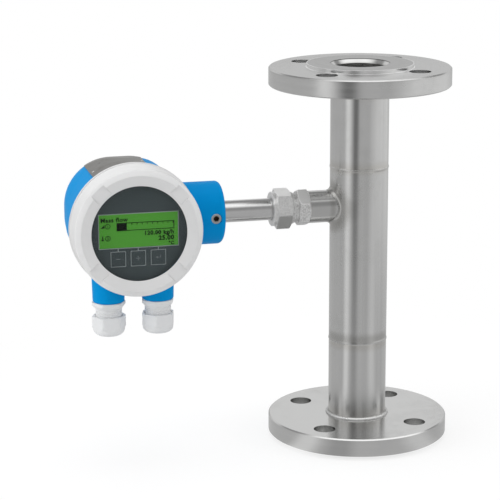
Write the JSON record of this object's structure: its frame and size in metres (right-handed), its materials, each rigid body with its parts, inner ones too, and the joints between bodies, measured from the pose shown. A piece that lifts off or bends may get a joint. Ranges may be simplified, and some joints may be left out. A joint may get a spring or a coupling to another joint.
{
  "type": "thermal mass flow meter",
  "caption": "Flanged measuring tube with a side-mounted thermal sensor tube that carries a round transmitter housing with a display window and cable glands.",
  "frame": {"origin": "centre of the inlet flange's bolt circle, on its bolting face", "axes": "+Z along the flow from inlet to outlet, -X towards the transmitter housing, -Y the way the display faces"},
  "size_m": [0.3228, 0.15, 0.3165],
  "materials": {
    "stainless_turned": "turned and satin, fine concentric lines",
    "stainless_pipe": "drawn tube, satin, heat tint at the welds",
    "stainless_fitting": "machined, bright",
    "blue_coating": "semi-gloss powder coat on cast aluminium",
    "grey_coating": "semi-gloss coat on cast aluminium",
    "grey_plastic": "moulded polyamide",
    "plate_steel": "brushed sheet, bare",
    "dark_screw": "plain set screw",
    "window": "clear flat pane",
    "black_rubber": "moulded seal",
    "black_ring": "blackened spring ring",
    "slate_plastic": "moulded display front",
    "lcd_green": "backlit display panel",
    "holder_plastic": "moulded holder",
    "board": "circuit carrier",
    "potted_core": "potted module",
    "terminal_green": "terminal strip",
    "terminal_brass": "nickel-free clamp screws",
    "cable_grey": "sheathed cable"
  },
  "bodies": {
    "flow_body": {"inlet_flange": "stainless_turned", "outlet_flange": "stainless_turned", "inlet_pipe": "stainless_pipe", "outlet_pipe": "stainless_pipe", "measuring_tube": "stainless_pipe", "sensor_tube": "stainless_pipe", "tube_clip": "black_ring", "heated_probe": "stainless_fitting", "reference_probe": "stainless_fitting", "sensor_head": "stainless_fitting", "probe_guard": "stainless_fitting", "sensor_cable": "cable_grey", "fitting_body": "stainless_fitting", "fitting_nut": "stainless_fitting", "front_ferrule": "stainless_fitting", "back_ferrule": "stainless_fitting"},
    "housing_body": {"housing": "blue_coating", "neck_o_ring": "black_rubber", "cover_o_ring": "black_rubber", "securing_screw": "dark_screw", "nameplate": "plate_steel", "nameplate_pins": "plate_steel", "display_holder": "holder_plastic", "electronics_carrier": "board", "main_electronics": "potted_core", "terminal_block": "terminal_green", "terminal_screws": "terminal_brass", "gland_body_left": "grey_plastic", "gland_nut_left": "grey_plastic", "gland_seal_left": "black_rubber", "gland_body_right": "grey_plastic", "gland_nut_right": "grey_plastic", "gland_seal_right": "black_rubber"},
    "window_body": {"window_glass": "window", "window_seal": "black_rubber", "window_retainer": "black_ring"},
    "cover_body": {"cover_ring": "grey_coating"},
    "display_body": {"display_module": "slate_plastic", "lcd_panel": "lcd_green"}
  },
  "joints": [
    {"name": "housing_turn", "type": "hinge", "parent": "flow_body", "child": "housing_body", "pos_m": [-0.13, 0, 0.1952], "axis": [1, 0, 0], "range_deg": [-175, 175]},
    {"name": "cover_slide", "type": "slide", "parent": "housing_body", "child": "window_body", "axis": [0, -1, 0], "range_m": [0, 0.01205]},
    {"name": "cover_turn", "type": "hinge", "parent": "window_body", "child": "cover_body", "pos_m": [-0.1957, -0.05, 0.1952], "axis": [0, -1, 0], "range_deg": [0, 2160]},
    {"name": "display_turn", "type": "hinge", "parent": "housing_body", "child": "display_body", "pos_m": [-0.1957, -0.05, 0.1952], "axis": [0, -1, 0], "range_deg": [-180, 180]}
  ],
  "couplings": [
    {"joint": "cover_slide", "follows": "cover_turn", "m_per_rad": 0.00031831}
  ]
}
